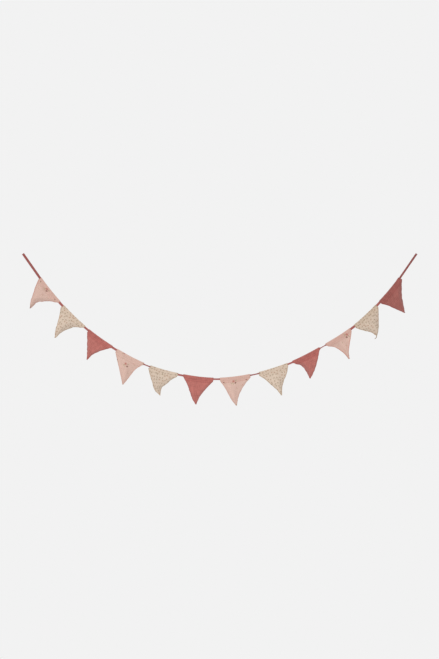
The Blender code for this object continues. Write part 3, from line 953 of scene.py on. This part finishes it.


def muslin(kind, wrong_side=False):
    """Cotton double gauze, printed and washed: matt, soft and fuzzy, with a loose plain weave
    that shows as fine ribs, and deeper in colour where it lies double or over the tape."""
    cloth = MUSLINS[kind]
    name = f"{kind}_muslin_wrong_side" if wrong_side else f"{kind}_muslin_printed_side"
    finish = {"Roughness": 0.92, "Specular IOR Level": 0.25, "Sheen Weight": 0.07, "Sheen Roughness": 0.6}
    material, tree, shader = start_material(name, finish)

    flat = add(tree, "UVMap", uv_map="flat").outputs[0]
    weave = add(tree, "Mapping", {"Vector": flat, "Scale": MILLIMETRES}).outputs[0]
    layers = add(tree, "Attribute", attribute_name="layers").outputs["Fac"]
    puffed = add(tree, "Attribute", attribute_name="puffed").outputs["Fac"]
    # Each flag's tone, with painted light and shade on its folds, and painted shade over the whole twelfth
    # flag
    dye = add(tree, "Attribute", attribute_name="dye").outputs["Fac"]

    ground = linear(cloth.wrong_side if wrong_side else cloth.ground)
    doubling = {MIX_SHARE: layers, MIX_UNDER: ground, MIX_OVER: linear(cloth.doubled)}
    colour = add(tree, "Mix", doubling, data_type="RGBA").outputs[MIX_RESULT]
    colour = cloth.draw(tree, weave, colour, cloth.strength * (SHOWS_THROUGH if wrong_side else 1.0))

    unevenness = {"Vector": weave, "Scale": MOTTLE_SCALE, "Detail": 4.0, "Roughness": 0.6}
    mottle = add(tree, "TexNoise", unevenness).outputs[0]
    darkest = 1 - cloth.crinkle
    mottled = {"Value": mottle, "To Min": darkest, "To Max": 1 + cloth.crinkle}
    shade = add(tree, "MapRange", mottled).outputs[0]
    # Painted shade along the tie lines between the puffs, and painted light on the puffs
    tie_shading = {"Value": puffed, "To Min": darkest, "To Max": 1 + PUFFS_PAINTED_LIGHTER * cloth.crinkle}
    painted_tie_shade = add(tree, "MapRange", tie_shading).outputs[0]
    shade = add(tree, "Math", {0: shade, 1: painted_tie_shade}, operation="MULTIPLY").outputs[0]
    shade = add(tree, "Math", {0: shade, 1: dye}, operation="MULTIPLY").outputs[0]

    ribs = []
    parts = add(tree, "SeparateXYZ", {0: weave})
    for axis in ("X", "Y"):
        threads = {0: parts.outputs[axis], 1: math.tau / THREAD_PITCH}
        turns = add(tree, "Math", threads, operation="MULTIPLY").outputs[0]
        ribs.append(add(tree, "Math", {0: turns}, operation="SINE").outputs[0])
    crossing = add(tree, "Math", {0: ribs[0], 1: ribs[1]}, operation="MULTIPLY").outputs[0]
    slub = add(tree, "TexNoise", {"Vector": weave, "Scale": SLUB_SCALE, "Detail": 2.0}).outputs[0]
    height = add(tree, "Math", {0: crossing, 1: slub}, operation="MULTIPLY").outputs[0]
    thread = add(tree, "Math", {0: height, 1: THREAD_SHADE, 2: 1.0}, operation="MULTIPLY_ADD").outputs[0]
    shade = add(tree, "Math", {0: shade, 1: thread}, operation="MULTIPLY").outputs[0]
    colour = add(tree, "VectorMath", {0: colour, "Scale": shade}, operation="SCALE").outputs[0]
    bump = add(tree, "Bump", {"Height": height, "Strength": 0.8, "Distance": 0.2 * MM})
    tree.links.new(colour, shader.inputs["Base Color"])
    tree.links.new(bump.outputs[0], shader.inputs["Normal"])
    return material


RIB_PITCH = 1.5            # mm; the real herringbone is finer than shows, about 0.7
SELVEDGE_FROM = 5.9        # mm from the tape's middle
SELVEDGE_FULL = 6.6
SELVEDGE_DEEPER = 0.7
RUB_SCALE = 0.05           # for each mm, so it is rubbed over 20 mm or so
RUB_SHADES = (0.9, 1.12)


def tape_cotton():
    """Woven cotton tape in herringbone: matt, with slanting ribs that meet along the middle,
    a firmer and darker selvedge on each edge, and a little paler where it rubs."""
    finish = {"Roughness": 0.88, "Specular IOR Level": 0.3, "Sheen Weight": 0.1}
    material, tree, shader = start_material("dusty_rose_cotton_tape", finish)

    flat = add(tree, "UVMap", uv_map="flat").outputs[0]
    weave = add(tree, "Mapping", {"Vector": flat, "Scale": MILLIMETRES}).outputs[0]
    parts = add(tree, "SeparateXYZ", {0: weave})
    off_middle = add(tree, "Math", {0: parts.outputs["Y"]}, operation="ABSOLUTE").outputs[0]
    slant = add(tree, "Math", {0: parts.outputs["X"], 1: off_middle}, operation="ADD").outputs[0]
    turns = add(tree, "Math", {0: slant, 1: math.tau / RIB_PITCH}, operation="MULTIPLY").outputs[0]
    ribs = add(tree, "Math", {0: turns}, operation="SINE").outputs[0]
    rib_share = add(tree, "MapRange", {"Value": ribs, "From Min": -1.0, "From Max": 1.0}).outputs[0]
    ribbed = {MIX_SHARE: rib_share, MIX_UNDER: linear("8F4A46"), MIX_OVER: linear("A5605B")}
    colour = add(tree, "Mix", ribbed, data_type="RGBA").outputs[MIX_RESULT]
    edge = {"Value": off_middle, "From Min": SELVEDGE_FROM, "From Max": SELVEDGE_FULL}
    selvedge = add(tree, "MapRange", {**edge, "To Max": SELVEDGE_DEEPER}).outputs[0]
    edged = {MIX_SHARE: selvedge, MIX_UNDER: colour, MIX_OVER: linear("8A4541")}
    colour = add(tree, "Mix", edged, data_type="RGBA").outputs[MIX_RESULT]
    wear = {"Vector": weave, "Scale": RUB_SCALE, "Detail": 5.0, "Roughness": 0.65}
    rub = {"Value": add(tree, "TexNoise", wear).outputs[0], "To Min": RUB_SHADES[0], "To Max": RUB_SHADES[1]}
    rub = add(tree, "MapRange", rub).outputs[0]
    # The tape's colour takes the painted shade along its length
    dye = add(tree, "Attribute", attribute_name="dye").outputs["Fac"]
    shade = add(tree, "Math", {0: rub, 1: dye}, operation="MULTIPLY").outputs[0]
    colour = add(tree, "VectorMath", {0: colour, "Scale": shade}, operation="SCALE").outputs[0]
    bump = add(tree, "Bump", {"Height": ribs, "Strength": 0.5, "Distance": 0.15 * MM})
    tree.links.new(colour, shader.inputs["Base Color"])
    tree.links.new(bump.outputs[0], shader.inputs["Normal"])
    return material


def sewing_thread(kind):
    """Spun sewing thread in the cloth's own tone: matt, with a fine twist."""
    material, tree, shader = start_material(f"{kind}_sewing_thread", {"Roughness": 0.75})
    place = add(tree, "TexCoord").outputs["Object"]
    twist = add(tree, "TexNoise", {"Vector": place, "Scale": 900.0, "Detail": 2.0}).outputs[0]
    light, deep = linear(MUSLINS[kind].ground), linear(MUSLINS[kind].doubled)
    twisted = {MIX_SHARE: twist, MIX_UNDER: deep, MIX_OVER: light}
    colour = add(tree, "Mix", twisted, data_type="RGBA").outputs[MIX_RESULT]
    bump = add(tree, "Bump", {"Height": twist, "Strength": 0.3, "Distance": 0.05 * MM})
    tree.links.new(colour, shader.inputs["Base Color"])
    tree.links.new(bump.outputs[0], shader.inputs["Normal"])
    return material


def studio_paper():
    """Matt studio paper for the floor: pale, with only a faint unevenness."""
    material, tree, shader = start_material("studio_paper", {"Roughness": 0.95})
    place = add(tree, "TexCoord").outputs["Object"]
    grain = add(tree, "TexNoise", {"Vector": place, "Scale": 3.0, "Detail": 3.0}).outputs[0]
    grained = {MIX_SHARE: grain, MIX_UNDER: linear("F1F1F1"), MIX_OVER: linear("F5F5F5")}
    colour = add(tree, "Mix", grained, data_type="RGBA").outputs[MIX_RESULT]
    tree.links.new(colour, shader.inputs["Base Color"])
    return material


def make_stage():
    """A plain pale floor below the bunting, soft light all round and a soft key light."""
    floor = bmesh.new()
    bmesh.ops.create_grid(floor, x_segments=4, y_segments=4, size=1.0)
    bmesh.ops.scale(floor, vec=FLOOR_SCALE, verts=floor.verts)
    bmesh.ops.translate(floor, vec=FLOOR_MIDDLE, verts=floor.verts)
    piece = add_object("floor", mesh_of("floor", floor))
    piece.data.materials.append(studio_paper())

    world = bpy.data.worlds.new("soft_surround")
    world.use_nodes = True
    surround = (SURROUND_LIGHT, SURROUND_LIGHT, SURROUND_LIGHT, 1)
    world.node_tree.nodes["Background"].inputs["Color"].default_value = surround
    bpy.context.scene.world = world

    key = bpy.data.lights.new("key", "AREA")
    key.shape = "DISK"
    key.size = KEY_SIZE
    key.energy = KEY_POWER
    lamp = add_object("key", key)
    lamp.location = KEY_PLACE
    lamp.visible_camera = False
    aim = Vector(KEY_AIM) - lamp.location
    lamp.rotation_euler = aim.to_track_quat("-Z", "Y").to_euler()


def make_camera():
    """A level camera, straight in front, at the photograph's framing."""
    lens = bpy.data.cameras.new("camera")
    lens.lens = CAMERA_LENS
    lens.sensor_width = 36
    lens.sensor_fit = "AUTO"
    camera = add_object("camera", lens)
    camera.location = CAMERA_PLACE
    camera.rotation_euler = (math.pi / 2, 0, 0)
    bpy.context.scene.camera = camera
    bpy.context.scene.view_settings.view_transform = "Standard"


def main():
    make_camera()
    make_stage()
    tape = make_tape(tape_cotton())
    cloths = {kind: [muslin(kind), muslin(kind, wrong_side=True)] for kind in MUSLINS}
    threads = {kind: sewing_thread(kind) for kind in MUSLINS}
    stitch = one_stitch()
    for number, place in enumerate(PLACES):
        surface = make_surface(number)
        cloth = make_cloth(number, surface, cloths[place.cloth])
        stitches = make_stitches(number, surface, threads[place.cloth], stitch)


main()
